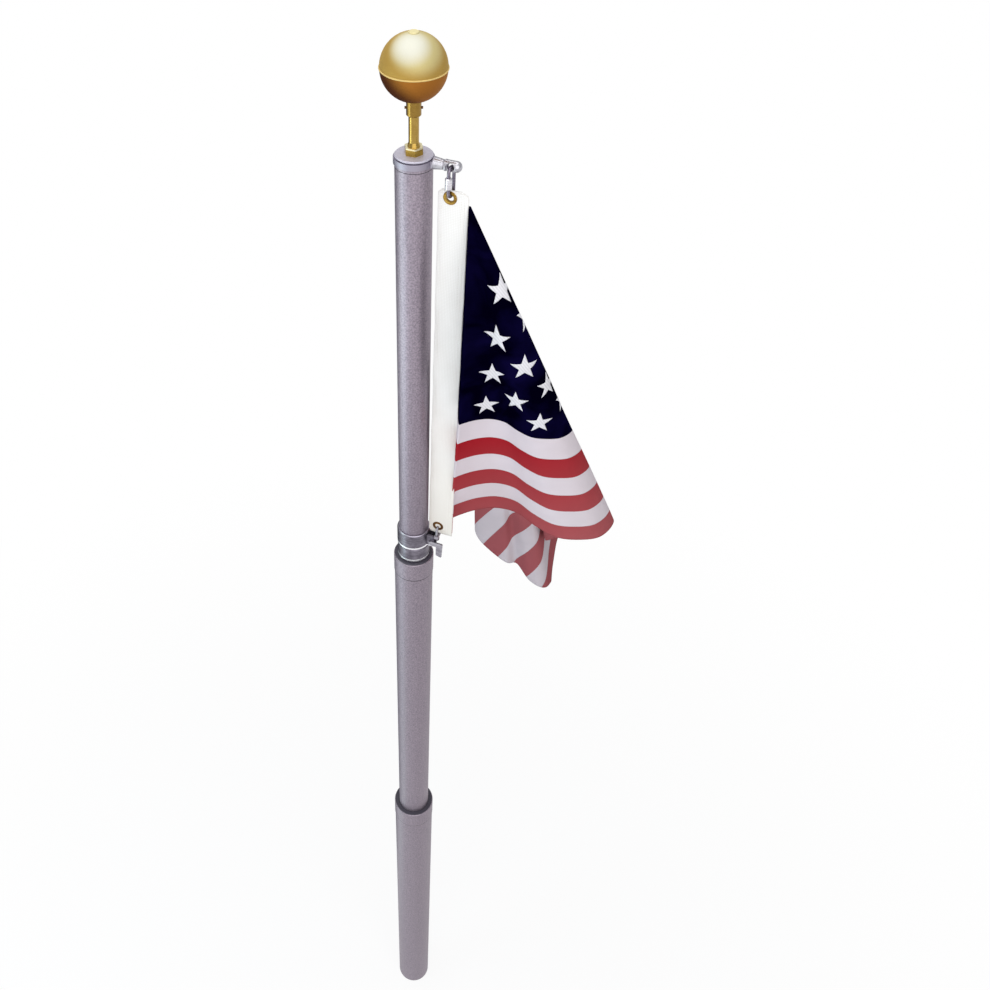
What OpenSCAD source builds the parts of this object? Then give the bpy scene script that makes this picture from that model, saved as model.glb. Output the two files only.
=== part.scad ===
// Telescoping flagpole with a gold ball, two swivels and a hung flag.
// Millimetres. The origin is on the pole's axis at ground level, +Z is up,
// and the swivel arms and the flag's header point along +X.

/* [Tubes] */
// Outside diameter of the lower tube
lower_od = 82.5; // [76:0.5:90]
// Wall of the lower tube
lower_wall = 3; // [2:0.25:4]
// Height of the lower section's top above the ground
lower_top = 1000; // [700:10:1400]
// Outside diameter of the middle tube
middle_od = 63.5; // [60:0.5:68]
// Wall of the middle tube
middle_wall = 2.5; // [1.5:0.25:3]
// Length of the middle section that stands out of the lower one
middle_show = 826; // [600:10:1100]
// Length of the middle tube that stays inside the lower one
middle_overlap = 160; // [120:5:180]
// Outside diameter of the upper tube
upper_od = 46; // [42:0.5:48]
// Wall of the upper tube
upper_wall = 2; // [1.5:0.25:3]
// Length of the upper tube that stays inside the middle one
upper_overlap = 300; // [240:10:400]
// Height of the plug that closes the foot
base_plug_h = 40; // [20:5:60]

/* [Collars and bushings] */
// Height of the lower section's collar
lower_collar_h = 48; // [40:1:60]
// Height of the middle section's collar
middle_collar_h = 38; // [30:1:48]
// How far a collar stands proud of its tube
collar_proud = 0.8; // [0.4:0.1:1.5]
// Chamfer on the turned edges
edge_chamfer = 1.2; // [0.6:0.1:1.8]
// Thickness of a bushing's flange on top of its collar
flange_t = 1.6; // [1:0.1:2.5]
// Rim of the collar that shows outside the flange
flange_inset = 1.6; // [1:0.1:2.2]
// Running clearance between a tube and its bushing, on the radius
slide_gap = 0.3; // [0.2:0.05:0.5]
// Sleeve of the lower bushing below its top
lower_bushing_h = 60; // [50:1:80]
// Sleeve of the middle bushing below its top
middle_bushing_h = 48; // [40:1:60]
// Height of the stop collar on the upper tube
stop_h = 29; // [22:1:34]
// Outside diameter of the stop collar
stop_od = 51.5; // [50:0.5:54]
// Chamfer on the stop collar and the swivel band
band_chamfer = 2; // [1:0.1:2.2]

/* [Cap and finial] */
// Height of the cap disc
cap_h = 3; // [2:0.5:5]
// Diameter of the cap disc
cap_od = 46.5; // [45:0.5:48]
// Depth of the plug inside the upper tube
plug_depth = 24; // [18:1:40]
// Width of the hex nut across its flats
nut_af = 20; // [17:0.5:22]
// Height of the hex nut
nut_h = 9; // [7:0.5:11]
// Diameter of the stem
stem_d = 12.2; // [10:0.2:13]
// How far the stem's foot flares over the nut
stem_flare = 1.4; // [0.8:0.1:2]
// Height of the stem's flare
flare_h = 5; // [3:0.5:8]
// Length of the stem that shows between the nut and the neck
stem_show = 36; // [28:1:50]
// Diameter of the neck sleeve under the ball
neck_d = 17.4; // [16:0.2:20]
// Length of the neck sleeve under the ball
neck_h = 18; // [14:1:24]
// Width across the two neck screws
screw_span = 21; // [20:0.5:25]
// Diameter of a neck screw
neck_screw_d = 3; // [2:0.2:4]
// Diameter of the ball
ball_d = 76.2; // [70:0.2:90]
// Height of the ball over its diameter
ball_squash = 0.965; // [0.9:0.005:1]
// Wall of the spun ball
ball_wall = 1.5; // [1:0.1:2.5]
// Radius of the bead along the ball's seam
bead_r = 0.9; // [0.6:0.1:1.2]
// Diameter of the button on top of the ball
button_d = 12; // [9:0.5:14]
// Height of the button on top of the ball
button_h = 1.8; // [1.4:0.2:3]

/* [Top swivel] */
// Height of the swivel ring
ring_h = 7.4; // [6:0.2:9]
// Outside diameter of the swivel ring
ring_od = 49; // [48:0.5:52]
// Diameter of the spigot that the ring turns on
spigot_d = 34; // [28:1:36]
// Distance of the eye from the pole's axis
eye_x = 47; // [45:0.5:52]
// Distance of the arm's tip from the pole's axis
tip_x = 60; // [58:0.5:66]
// Diameter of the arm at its root
arm_root_d = 15; // [13:0.2:16]
// Diameter of the arm at its groove
arm_end_d = 11.8; // [10.6:0.2:12.4]
// Width of the groove in the arm
groove_w = 1.6; // [1:0.1:2.2]
// Depth of the groove in the arm
groove_depth = 1; // [0.5:0.1:1.6]
// Width of the disc beyond the groove
disc_w = 2.2; // [1.6:0.1:3]
// How far the disc stands proud of the arm
disc_proud = 0.9; // [0.4:0.1:1.5]
// Diameter of the rounded nose
nose_d = 13.2; // [12.4:0.2:14]
// Thickness of the flattened tang around the eye
tang_t = 6; // [5:0.2:6.2]
// Rim of the tang around the eye
tang_rim = 1.8; // [1.4:0.1:2.2]
// Diameter of the eye
eye_d = 7.6; // [7:0.2:8]

/* [Quick link] */
// Diameter of the link's wire
wire_d = 4.2; // [3.6:0.1:4.4]
// Width over the link
link_w = 16.4; // [16:0.2:18]
// Length over the link
link_l = 41; // [38:1:46]
// Play of the wire in the eye and in the grommet
link_seat = 0.7; // [0.6:0.05:0.9]
// Turn of the link about its own length, from the arm
link_turn = 80; // [75:1:90]
// Diameter of the screw sleeve
sleeve_d = 8.4; // [7:0.2:9]
// Length of the screw sleeve
sleeve_l = 14; // [10:1:16]
// Chamfer on the screw sleeve
sleeve_chamfer = 0.8; // [0.4:0.1:1.2]

/* [Flag] */
// Length of the flag's field from hoist to fly
fly = 858; // [800:2:900]
// Distance of the header's near edge from the pole's axis
header_x = 31; // [30:0.5:34]
// Width of the canvas header
header_w = 39; // [36:0.5:42]
// Thickness of the canvas header
header_t = 2.4; // [1.6:0.1:2.6]
// Height of the header's clipped corners
header_clip = 4.5; // [4:0.5:6]
// Lean of the header, in degrees: the lower swivel draws its foot towards the pole
header_lean = 0.5; // [0:0.05:0.6]
// Length of header above the centre of the upper grommet
header_above = 9.2; // [9:0.2:14]
// Length of header below the centre of the lower grommet
header_below = 15.5; // [10:0.5:20]
// Distance of the field's top corner below the header's top
field_drop = 11.8; // [8:0.2:16]
// Distance of the field's bottom edge above the header's bottom
field_rise = 6.9; // [4:0.1:10]
// Outside diameter of a grommet
grommet_d = 17.5; // [16:0.5:18]
// Diameter of a grommet's hole
grommet_hole = 9.5; // [9:0.1:10]
// Wall of a grommet's barrel
barrel_wall = 1.1; // [0.8:0.1:1.4]
// How far a grommet's crown stands off the canvas
crown_h = 1.2; // [0.9:0.1:1.6]
// Distance of the upper grommet from the lower one
grommet_span = 566; // [540:1:590]
// Thickness of the field's solid where it is thickest
field_t = 1.6; // [1:0.1:2]

/* [Lower swivel] */
// Height of the swivel band
band_h = 32; // [28:1:32]
// Outside diameter of the swivel band
band_od = 53; // [52:0.5:56]
// Running gap under and over a swivel
swivel_gap = 0.3; // [0.2:0.05:0.5]
// Height of the thumb screw above the band's foot
screw_rise = 15; // [13:0.5:18]
// Height of the lower grommet above the thumb screw
snap_rise = 33.2; // [32:0.2:38]
// Distance of the thumb screw from the pole's axis
screw_x = 35; // [34:0.5:37]
// Inner width of the fork
fork_gap = 9; // [8:0.5:10]
// Thickness of one ear of the fork
ear_t = 3; // [2.5:0.25:4]
// Height of an ear
ear_h = 23; // [19:1:23]
// Length of an ear beyond the thumb screw
ear_end = 6.5; // [6:0.5:8]
// Bevel on an ear's corners
ear_bevel = 5; // [4.5:0.25:5.5]
// Diameter of the thumb screw
screw_d = 4; // [3:0.2:5]
// Diameter of the thumb screw's head and nut
head_d = 9; // [8:0.5:11]
// Thickness of the thumb screw's head and nut
head_t = 3; // [2:0.5:4]
// Distance of the lever's blade from the thumb screw
blade_out = 8; // [6:0.5:10]
// Width of the lever's blade
blade_w = 11; // [9:0.5:13]
// Length of the lever's blade
blade_l = 31; // [26:1:34]
// Thickness of the lever's blade
blade_t = 2.2; // [1.6:0.2:3]
// Diameter of the snap hook's wire
hook_d = 3.6; // [3:0.1:4]
// Width of the snap hook between the middles of its legs
hook_w = 14; // [13:0.5:16]
// Diameter of the snap's eye on the thumb screw
snap_eye_d = 9; // [8:0.5:11]
// Thickness of the snap's body
body_t = 6; // [5:0.5:7]
// Height of the block that carries the hook
block_h = 6.5; // [5:0.5:6.5]
// Rim of the block outside the hook's legs
block_rim = 1; // [0.8:0.1:2]
// Depth of the hook's legs in the block
leg_in = 3.5; // [3:0.5:4]
// Gap between the header's bottom edge and the block
snap_gap = 1.2; // [1:0.1:3]

/* [Hidden] */
$fn = 96;

// Small clearances and overlaps
snug = 0.1;
cut = 1;

// Heights from the ground up: the flag's header and the link set how far the upper tube stands out
seat = 0.3;
middle_top = lower_top + middle_show;
stop_z = middle_top + swivel_gap;
band_z = stop_z + stop_h + swivel_gap;
screw_z = band_z + screw_rise;
lower_grommet_z = screw_z + snap_rise;
upper_grommet_z = lower_grommet_z + grommet_span;
link_bottom = upper_grommet_z + grommet_hole / 2 - link_seat - wire_d;
link_top = link_bottom + link_l;
arm_z = link_top - wire_d - link_seat + eye_d / 2;
ring_z = arm_z - ring_h / 2;
upper_top = ring_z - swivel_gap;
cap_z = ring_z + ring_h + swivel_gap;
cap_top = cap_z + cap_h;
nut_top = cap_top + nut_h;
neck_z = nut_top + stem_show;
ball_r = ball_d / 2;
neck_in = 2;
ball_z = neck_z + neck_h + ball_rise(neck_d / 2);

// Height of the ball's outside over its middle, at a distance from its axis
function ball_rise(x) = ball_squash * sqrt(ball_r * ball_r - x * x);

// Swivel arm, along X from the ring to its tip
arm_gap = 1.2;
arm_x = cap_od / 2 + arm_gap;
pocket_r = eye_d / 2 + tang_rim;
disc_x = eye_x - pocket_r - disc_w;
groove_r = arm_end_d / 2 - groove_depth;
disc_r = arm_end_d / 2 + disc_proud;
nose_r = nose_d / 2;
nose_x = tip_x - nose_r;

// Quick link: its wire lies on the bottom of the eye
wire_r = wire_d / 2;
link_bend = link_w / 2 - wire_r;

// Grommets hang from the link's lower bend
grommet_x = eye_x - seat;
header_top = upper_grommet_z + header_above;
header_bottom = lower_grommet_z - header_below;
barrel_r = grommet_hole / 2 + barrel_wall;

// Where the lean carries the header's x at a height
function lean_x(z) = tan(header_lean) * (z - upper_grommet_z);

// Flag: rays fan out from the top hoist corner
hoist = header_top - header_bottom - field_drop - field_rise;
hoist_x = header_x + header_w + seat;
apex_z = header_top - field_drop;
fold_turn = 22;
field_root = 0.07 * hoist;
field_rows = 12;
field_step = 2;
taper_length = 0.7 * hoist;
lean_ramp = 2;
fold_steps = 6;
corner_turn = atan(fly / hoist);
// Each row: how far a ray swings outwards and how far it swings back, in degrees
fold = [[0, 0], [-0.3, 1.6], [1.9, 2.9], [5, 4], [8.5, 4.4], [11.9, 3.4], [14.8, 0.8], [18, -1.3],
        [21.5, -1.6], [24.5, -0.8], [26.5, 2], [26.4, 4.4], [21.7, 5.3], [17.5, 6.4], [15.6, 7.4],
        [16.2, 8.8], [18, 10.4], [18.4, 12], [17.2, 12.2], [15.8, 10.2], [14.4, 7.7], [12.4, 8.1],
        [10.8, 10], [9.4, 9.8], [7.2, 11], [5.5, 12.4], [5, 13.8], [6, 15], [9, 15.6], [13, 16],
        [15, 17], [14, 18.2], [10, 18.8], [6.5, 19.4], [5.5, 20.6], [8, 21.4], [12, 21.6], [15, 22.4]];
// Each row: the drop below the corner, and how far the cloth hangs back there, in percent of the hoist
lean = [[0, 0], [10.5, -3.5], [21, -7.8], [31.5, -10.6], [42, -10.5], [54.5, -9.1], [70, -5.8],
        [85.7, -1.8], [101.4, 2.8], [122.4, 10.8], [148.6, 14.7], [183.6, 16.1]];
// Each row: the drop in percent of the hoist, and how much wider the cloth spreads there, in percent
spread = [[0, 0], [25, 3.2], [50, -4], [75, -8.4], [100, -11.6], [125, -14.6], [184, -16.6]];

// Lower swivel: fork, thumb screw and snap. The shank runs from the screw to the middle of the block
hook_play = 1;
hook_x = grommet_x + lean_x(lower_grommet_z);
hook_bend = hook_w / 2;
hook_top = lower_grommet_z - grommet_hole / 2 + hook_d + hook_play;
bend_z = hook_top - hook_d / 2 - hook_bend;
body_top = header_bottom - snap_gap;
leg_l = bend_z - body_top + leg_in;
shank_rise = body_top - block_h / 2 - screw_z;
shank_turn = atan(shank_rise / (hook_x - screw_x));
shank_l = norm([shank_rise, hook_x - screw_x]);

// Shapes that several pieces share

// A tube standing on height z
module pipe(z, h, od, id) {
    translate([0, 0, z])
        difference() {
            cylinder(h = h, d = od);
            translate([0, 0, -cut])
                cylinder(h = h + 2 * cut, d = id);
        }
}

// A ring with a chamfer on its outer top and bottom edges
module turned_ring(z, h, od, id, top = edge_chamfer, bottom = edge_chamfer) {
    r = od / 2;
    translate([0, 0, z])
        rotate_extrude()
            polygon([[id / 2, 0], [r - bottom, 0], [r, bottom], [r, h - top], [r - top, h], [id / 2, h]]);
}

// A bushing: a sleeve in the tube and a flange that lies on the collar
module bushing(top, sleeve_h, tube_id, collar_od, bore) {
    r = collar_od / 2 - flange_inset;
    translate([0, 0, top])
        rotate_extrude()
            polygon([[bore / 2, 0], [r - flange_t / 2, 0], [r, -flange_t / 2], [r, -flange_t],
                     [tube_id / 2 - snug, -flange_t], [tube_id / 2 - snug, -sleeve_h], [bore / 2, -sleeve_h]]);
}

// Half of a bent wire, in the XZ plane, arching upwards
module wire_bend(bend, d) {
    rotate([90, 0, 0])
        rotate_extrude(angle = 180)
            translate([bend, 0])
                circle(d = d, $fn = 32);
}

// A cylinder along Y, centred on its middle
module cross_pin(x, z, d, l, y = 0) {
    translate([x, y, z])
        rotate([90, 0, 0])
            cylinder(h = l, d = d, center = true);
}

// Lower section

module lower_tube() {
    color("gray")
        pipe(0, lower_top - flange_t - lower_collar_h, lower_od, lower_od - 2 * lower_wall);
}

module lower_collar() {
    color("silver")
        turned_ring(lower_top - flange_t - lower_collar_h, lower_collar_h, lower_od + 2 * collar_proud,
                    lower_od - 2 * lower_wall, edge_chamfer, collar_proud / 2);
}

module lower_bushing() {
    color("black")
        bushing(lower_top, lower_bushing_h, lower_od - 2 * lower_wall, lower_od + 2 * collar_proud,
                middle_od + 2 * slide_gap);
}

module base_plug() {
    color("dimgray")
        cylinder(h = base_plug_h, d = lower_od - 2 * lower_wall - 2 * snug);
}

// Middle section

module middle_tube() {
    foot = lower_top - middle_overlap;
    color("gray")
        pipe(foot, middle_top - flange_t - middle_collar_h - foot, middle_od, middle_od - 2 * middle_wall);
}

module middle_collar() {
    color("silver")
        turned_ring(middle_top - flange_t - middle_collar_h, middle_collar_h, middle_od + 2 * collar_proud,
                    middle_od - 2 * middle_wall, edge_chamfer, collar_proud / 2);
}

module middle_bushing() {
    color("black")
        bushing(middle_top, middle_bushing_h, middle_od - 2 * middle_wall, middle_od + 2 * collar_proud,
                upper_od + 2 * slide_gap);
}

// Upper section

module upper_tube() {
    foot = middle_top - upper_overlap;
    color("gray")
        pipe(foot, upper_top - foot, upper_od, upper_od - 2 * upper_wall);
}

module stop_collar() {
    color("dimgray")
        turned_ring(stop_z, stop_h, stop_od, upper_od + 2 * snug, band_chamfer, band_chamfer);
}

module cap_plug() {
    color("silver")
        difference() {
            union() {
                translate([0, 0, upper_top - plug_depth])
                    cylinder(h = plug_depth, d = upper_od - 2 * upper_wall - 2 * snug);
                translate([0, 0, upper_top - cut])
                    cylinder(h = cap_z - upper_top + cut, d = spigot_d);
            }
            translate([0, 0, upper_top - plug_depth / 2])
                cylinder(h = cap_z, d = stem_d + 2 * snug);
        }
}

module cap_disc() {
    color("lavender")
        turned_ring(cap_z, cap_h, cap_od, stem_d + 2 * snug);
}

// Finial

module finial_nut() {
    color("goldenrod")
        translate([0, 0, cap_top])
            difference() {
                cylinder(h = nut_h, d = nut_af / cos(30), $fn = 6);
                translate([0, 0, -cut])
                    cylinder(h = nut_h + 2 * cut, d = stem_d + 2 * snug);
            }
}

module finial_stem() {
    r = stem_d / 2;
    foot = upper_top - plug_depth / 2;
    color("goldenrod")
        rotate_extrude()
            polygon([[0, foot], [r, foot], [r, nut_top], [r + stem_flare, nut_top],
                     [r + stem_flare, nut_top + stem_flare / 2], [r, nut_top + flare_h],
                     [r, neck_z + neck_h - cut], [0, neck_z + neck_h - cut]]);
}

module ball_neck() {
    r = neck_d / 2;
    color("goldenrod")
        difference() {
            translate([0, 0, neck_z])
                rotate_extrude()
                    polygon([[stem_d / 2 + snug, 0], [r - edge_chamfer, 0], [r, edge_chamfer],
                             [r, neck_h + neck_in], [stem_d / 2 + snug, neck_h + neck_in]]);
            neck_screw_row(neck_screw_d + 2 * snug, neck_d);
        }
}

// The two screws lie on one line through the neck
module neck_screw_row(d, span) {
    translate([0, 0, neck_z + neck_h / 2])
        rotate([0, 0, fold_turn])
            for (side = [0, 180])
                rotate([0, 0, side])
                    translate([stem_d / 2 + snug, 0, 0])
                        rotate([0, 90, 0])
                            cylinder(h = (span - stem_d) / 2 - snug, d = d, $fn = 32);
}

module neck_screws() {
    color("sienna")
        neck_screw_row(neck_screw_d, screw_span);
}

// Half of the spun ball: a shell between two radii, open at its pole where the neck goes in
module ball_half(side, pole_r) {
    inner = ball_r - ball_wall;
    pole = asin(pole_r / ball_r);
    inner_pole = asin(pole_r / inner);
    steps = 24;
    outer_arc = [for (i = [0:steps]) let (a = i * (90 - pole) / steps)
                     ball_r * [cos(a), side * ball_squash * sin(a)]];
    inner_arc = [for (i = [steps:-1:0]) let (a = i * (90 - inner_pole) / steps)
                     inner * [cos(a), side * ball_squash * sin(a)]];
    translate([0, 0, ball_z])
        rotate_extrude()
            polygon(concat(outer_arc, inner_arc));
}

module ball_lower_half() {
    color("darkgoldenrod")
        ball_half(-1, neck_d / 2 + snug);
}

module ball_upper_half() {
    color("gold")
        ball_half(1, 0);
}

// A half-round bead on the equator
module ball_seam_bead() {
    arch = [for (a = [-90:22.5:90]) [ball_r + snug / 4 + bead_r * cos(a), bead_r * sin(a)]];
    color("khaki")
        translate([0, 0, ball_z])
            rotate_extrude()
                polygon(arch);
}

module ball_top_button() {
    r = button_d / 2;
    steps = 8;
    top = ball_rise(r) + button_h;
    under = [for (i = [0:steps]) let (x = r * i / steps) [x, ball_rise(x) + snug / 4]];
    color("khaki")
        translate([0, 0, ball_z])
            rotate_extrude()
                polygon(concat(under, [[r, top - button_h / 2], [r - button_h / 2, top], [0, top]]));
}

// Top swivel

// Plan of the ring with a cheek that runs out into the arm
module swivel_plan() {
    circle(d = ring_od);
    translate([0, -arm_root_d / 2])
        square([arm_x + edge_chamfer, arm_root_d]);
}

// The arm turned about X: root, groove, disc and rounded nose
module swivel_arm() {
    nose = [for (a = [90:-9:0]) [nose_r * sin(a), nose_x + nose_r * cos(a)]];
    root_r = arm_root_d / 2;
    translate([0, 0, arm_z])
        rotate([0, 90, 0])
            rotate_extrude()
                polygon(concat([[0, arm_x], [root_r - edge_chamfer, arm_x], [root_r, arm_x + edge_chamfer],
                                [arm_end_d / 2, disc_x - groove_w], [groove_r, disc_x - groove_w],
                                [groove_r, disc_x], [disc_r, disc_x], [disc_r, disc_x + disc_w],
                                [nose_r, disc_x + disc_w]], nose));
}

// Pocket beside the eye on one side, open downwards for the link's leg
module eye_pocket(side) {
    depth = nose_d;
    y = side * (tang_t + depth) / 2;
    cross_pin(eye_x, arm_z, 2 * pocket_r, depth, y);
    translate([eye_x - pocket_r, y - depth / 2, arm_z - nose_d])
        cube([2 * pocket_r, depth, nose_d]);
}

// Countersink on one side of the eye
module eye_flare(side) {
    flare = tang_rim - link_seat;
    translate([eye_x, side * (tang_t / 2 + snug), arm_z])
        rotate([side * 90, 0, 0])
            cylinder(h = flare + snug, r1 = eye_d / 2 + flare, r2 = eye_d / 2);
}

module top_swivel_ring() {
    color("silver")
        difference() {
            union() {
                translate([0, 0, ring_z])
                    linear_extrude(ring_h)
                        swivel_plan();
                swivel_arm();
            }
            translate([0, 0, ring_z - cut])
                cylinder(h = ring_h + 2 * cut, d = spigot_d + 2 * swivel_gap);
            for (side = [-1, 1]) {
                eye_pocket(side);
                eye_flare(side);
            }
            cross_pin(eye_x, arm_z, eye_d, 2 * nose_d);
        }
}

// Quick link

module top_link() {
    leg = link_l - 2 * link_bend - wire_d;
    color("lightgray")
        translate([eye_x, 0, link_bottom + wire_r + link_bend])
            rotate([0, 0, link_turn]) {
                for (side = [-1, 1])
                    translate([side * link_bend, 0, 0])
                        cylinder(h = leg, d = wire_d);
                translate([0, 0, leg])
                    wire_bend(link_bend, wire_d);
                rotate([180, 0, 0])
                    wire_bend(link_bend, wire_d);
            }
}

module top_link_sleeve() {
    middle = link_bottom + link_l / 2;
    color("whitesmoke")
        translate([eye_x, 0, 0])
            rotate([0, 0, link_turn])
                translate([-link_bend, 0, 0])
                    turned_ring(middle - sleeve_l / 2, sleeve_l, sleeve_d, wire_d + 2 * snug,
                                sleeve_chamfer, sleeve_chamfer);
}

// Flag

// Face of the header, in the XZ plane, with its top corners and the corner by the band clipped
module header_face() {
    far = header_x + header_w;
    polygon([[header_x + header_clip, header_bottom], [far, header_bottom], [far, header_top - header_clip],
             [far - 2 * header_clip, header_top], [header_x + header_clip, header_top],
             [header_x, header_top - header_clip], [header_x, header_bottom + header_clip]]);
}

// Leans what it holds about the upper grommet
module leaning() {
    translate([grommet_x, 0, upper_grommet_z])
        rotate([0, header_lean, 0])
            translate([-grommet_x, 0, -upper_grommet_z])
                children();
}

module flag_header() {
    color("ivory")
        leaning()
            difference() {
                translate([0, header_t / 2, 0])
                    rotate([90, 0, 0])
                        linear_extrude(header_t)
                            header_face();
                for (z = [lower_grommet_z, upper_grommet_z])
                    cross_pin(grommet_x, z, 2 * barrel_r + 2 * snug, 4 * header_t);
            }
}

// A rolled eyelet: two rims joined by a barrel
module grommet(z) {
    hole = grommet_hole / 2;
    rim = grommet_d / 2;
    face = header_t / 2 + snug / 2;
    crown = face + crown_h;
    soft = crown_h / 2;
    half = [[hole, crown - soft], [hole + soft, crown], [rim - soft, crown - soft / 2], [rim, face + soft / 2],
            [rim, face], [barrel_r, face]];
    other = [for (i = [len(half) - 1:-1:0]) [half[i].x, -half[i].y]];
    translate([grommet_x, 0, z])
        rotate([90, 0, 0])
            rotate_extrude()
                polygon(concat(half, other));
}

module upper_grommet() {
    color("goldenrod")
        leaning()
            grommet(upper_grommet_z);
}

module lower_grommet() {
    color("goldenrod")
        leaning()
            grommet(lower_grommet_z);
}

function unit(v) = v / norm(v);
function knot(i) = fold[max(0, min(len(fold) - 1, i))];
function between(a, b, c, d, t) =
    0.5 * (2 * b + (c - a) * t + (2 * a - 5 * b + 4 * c - d) * t * t + (3 * b - a - 3 * c + d) * t * t * t);

// Rays along the fold, and the angle that each has travelled since the hoist
fold_path = [for (i = [0:len(fold) - 2]) for (k = [0:fold_steps - 1])
                 between(knot(i - 1), knot(i), knot(i + 1), knot(i + 2), k / fold_steps)];
fold_rays = [for (p = fold_path) unit([tan(p.x), tan(p.y), -1])];
fold_angle = [for (i = 0, s = 0; i < len(fold_rays);
                   s = s + norm(fold_rays[min(i + 1, len(fold_rays) - 1)] - fold_rays[i]), i = i + 1)
                  s * 180 / PI];

function ray_part(axis) = [for (i = [0:len(fold_rays) - 1]) [fold_angle[i], fold_rays[i][axis]]];
ray_out = ray_part(0);
ray_back = ray_part(1);
ray_down = ray_part(2);

function ray_at(turn) = unit([lookup(turn, ray_out), lookup(turn, ray_back), lookup(turn, ray_down)]);
function reach(turn) = turn < corner_turn ? hoist / cos(turn) : fly / sin(turn);
function settle(turn) = let (u = max(0, min(1, turn / lean_ramp))) u * u * (3 - 2 * u);

// Point of the cloth at an angle from the hoist and a distance from the top corner
function cloth(turn, far) =
    let (p = far * ray_at(turn),
         drop = -100 * p.z / hoist,
         out = p.x * (1 + lookup(drop, spread) / 100),
         back = p.y + settle(turn) * lookup(drop, lean) * hoist / 100)
    [hoist_x + lean_x(apex_z + p.z) + out * cos(fold_turn) - back * sin(fold_turn),
     out * sin(fold_turn) + back * cos(fold_turn), apex_z + p.z];

function cloth_normal(turn, far) =
    unit(cross(cloth(turn + 0.2, far) - cloth(max(0, turn - 0.2), far),
               cloth(turn, far + 1) - cloth(turn, far - 1)));

module flag_field() {
    turns = [for (t = [0:field_step:90]) t];
    columns = len(turns);
    rows = field_rows + 1;
    count = columns * rows;
    function far(i, j) = field_root + (reach(turns[i]) - field_root) * j / field_rows;
    function side_point(i, j, side) =
        let (d = far(i, j))
        cloth(turns[i], d) + side * field_t / 2 * min(1, d / taper_length) * cloth_normal(turns[i], d);
    points = [for (side = [1, -1]) for (i = [0:columns - 1]) for (j = [0:rows - 1]) side_point(i, j, side)];
    function at(side, i, j) = side * count + i * rows + j;
    function quad(a, b, c, d) = [[a, b, c], [a, c, d]];
    faces = concat(
        [for (i = [0:columns - 2]) for (j = [0:rows - 2])
             each quad(at(0, i, j), at(0, i + 1, j), at(0, i + 1, j + 1), at(0, i, j + 1))],
        [for (i = [0:columns - 2]) for (j = [0:rows - 2])
             each quad(at(1, i, j), at(1, i, j + 1), at(1, i + 1, j + 1), at(1, i + 1, j))],
        [for (i = [0:columns - 2]) each quad(at(0, i, 0), at(1, i, 0), at(1, i + 1, 0), at(0, i + 1, 0))],
        [for (i = [0:columns - 2])
             each quad(at(0, i, rows - 1), at(0, i + 1, rows - 1), at(1, i + 1, rows - 1), at(1, i, rows - 1))],
        [for (j = [0:rows - 2]) each quad(at(0, 0, j), at(0, 0, j + 1), at(1, 0, j + 1), at(1, 0, j))],
        [for (j = [0:rows - 2])
             each quad(at(0, columns - 1, j), at(1, columns - 1, j), at(1, columns - 1, j + 1),
                       at(0, columns - 1, j + 1))]);
    color("firebrick")
        polyhedron(points, faces);
}

// Lower swivel

// One ear of the fork, in the XZ plane
module ear() {
    half = ear_h / 2;
    tip = screw_x + ear_end;
    root = (upper_od + band_od) / 4;
    translate([0, screw_z])
        polygon([[root, -half], [tip - ear_bevel, -half], [tip, -half + ear_bevel], [tip, half - ear_bevel],
                 [tip - ear_bevel, half], [root, half]]);
}

module lower_swivel_band() {
    color("dimgray")
        difference() {
            union() {
                turned_ring(band_z, band_h, band_od, upper_od + 2 * swivel_gap, band_chamfer, band_chamfer);
                for (y = [fork_gap / 2 + ear_t, -fork_gap / 2])
                    translate([0, y, 0])
                        rotate([90, 0, 0])
                            linear_extrude(ear_t)
                                ear();
            }
            cross_pin(screw_x, screw_z, screw_d + 2 * snug, 3 * band_od);
            translate([0, 0, band_z - cut])
                cylinder(h = band_h + 2 * cut, d = upper_od + 2 * swivel_gap);
        }
}

// Screw through the fork, with a flat lever on one side and a nut on the other
module thumb_screw() {
    reach_y = fork_gap / 2 + ear_t + snug;
    color("gray") {
        cross_pin(screw_x, screw_z, screw_d, 2 * reach_y + 2 * head_t);
        cross_pin(screw_x, screw_z, head_d, head_t, reach_y + head_t / 2);
        cross_pin(screw_x, screw_z, head_d, head_t, -reach_y - head_t / 2);
        translate([screw_x, -reach_y - head_t, screw_z])
            rotate([90, 0, 0])
                linear_extrude(blade_t)
                    lever_plan();
    }
}

// Plan of the lever: a boss on the screw, a lug, and a blade that hangs down
module lever_plan() {
    boss = head_d / 2;
    far = blade_out + blade_w;
    corner = blade_w / 8;
    circle(r = boss);
    polygon([[0, boss], [far - corner, boss], [far, boss - corner], [far - corner, boss - blade_l + corner],
             [far - 2 * corner, boss - blade_l], [blade_out, boss - blade_l + 2 * corner], [blade_out, -boss],
             [0, -boss]]);
}

// Swivel foot of the snap: an eye on the screw and a block that carries the hook
module snap_body() {
    block_w = hook_w + hook_d + 2 * block_rim;
    eye_l = fork_gap - 2 * snug;
    color("silver")
        difference() {
            union() {
                cross_pin(screw_x, screw_z, snap_eye_d, eye_l);
                translate([screw_x, -eye_l / 2, screw_z])
                    rotate([0, -shank_turn, 0])
                        translate([0, 0, -body_t / 2])
                            cube([shank_l, eye_l, body_t]);
                translate([hook_x - body_t / 2, -block_w / 2, body_top - block_h])
                    cube([body_t, block_w, block_h]);
            }
            cross_pin(screw_x, screw_z, screw_d + 2 * snug, 3 * block_w);
            for (y = [-hook_bend, hook_bend])
                translate([hook_x, y, body_top - leg_in])
                    cylinder(h = block_h, d = hook_d + 2 * snug, $fn = 48);
        }
}

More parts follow.
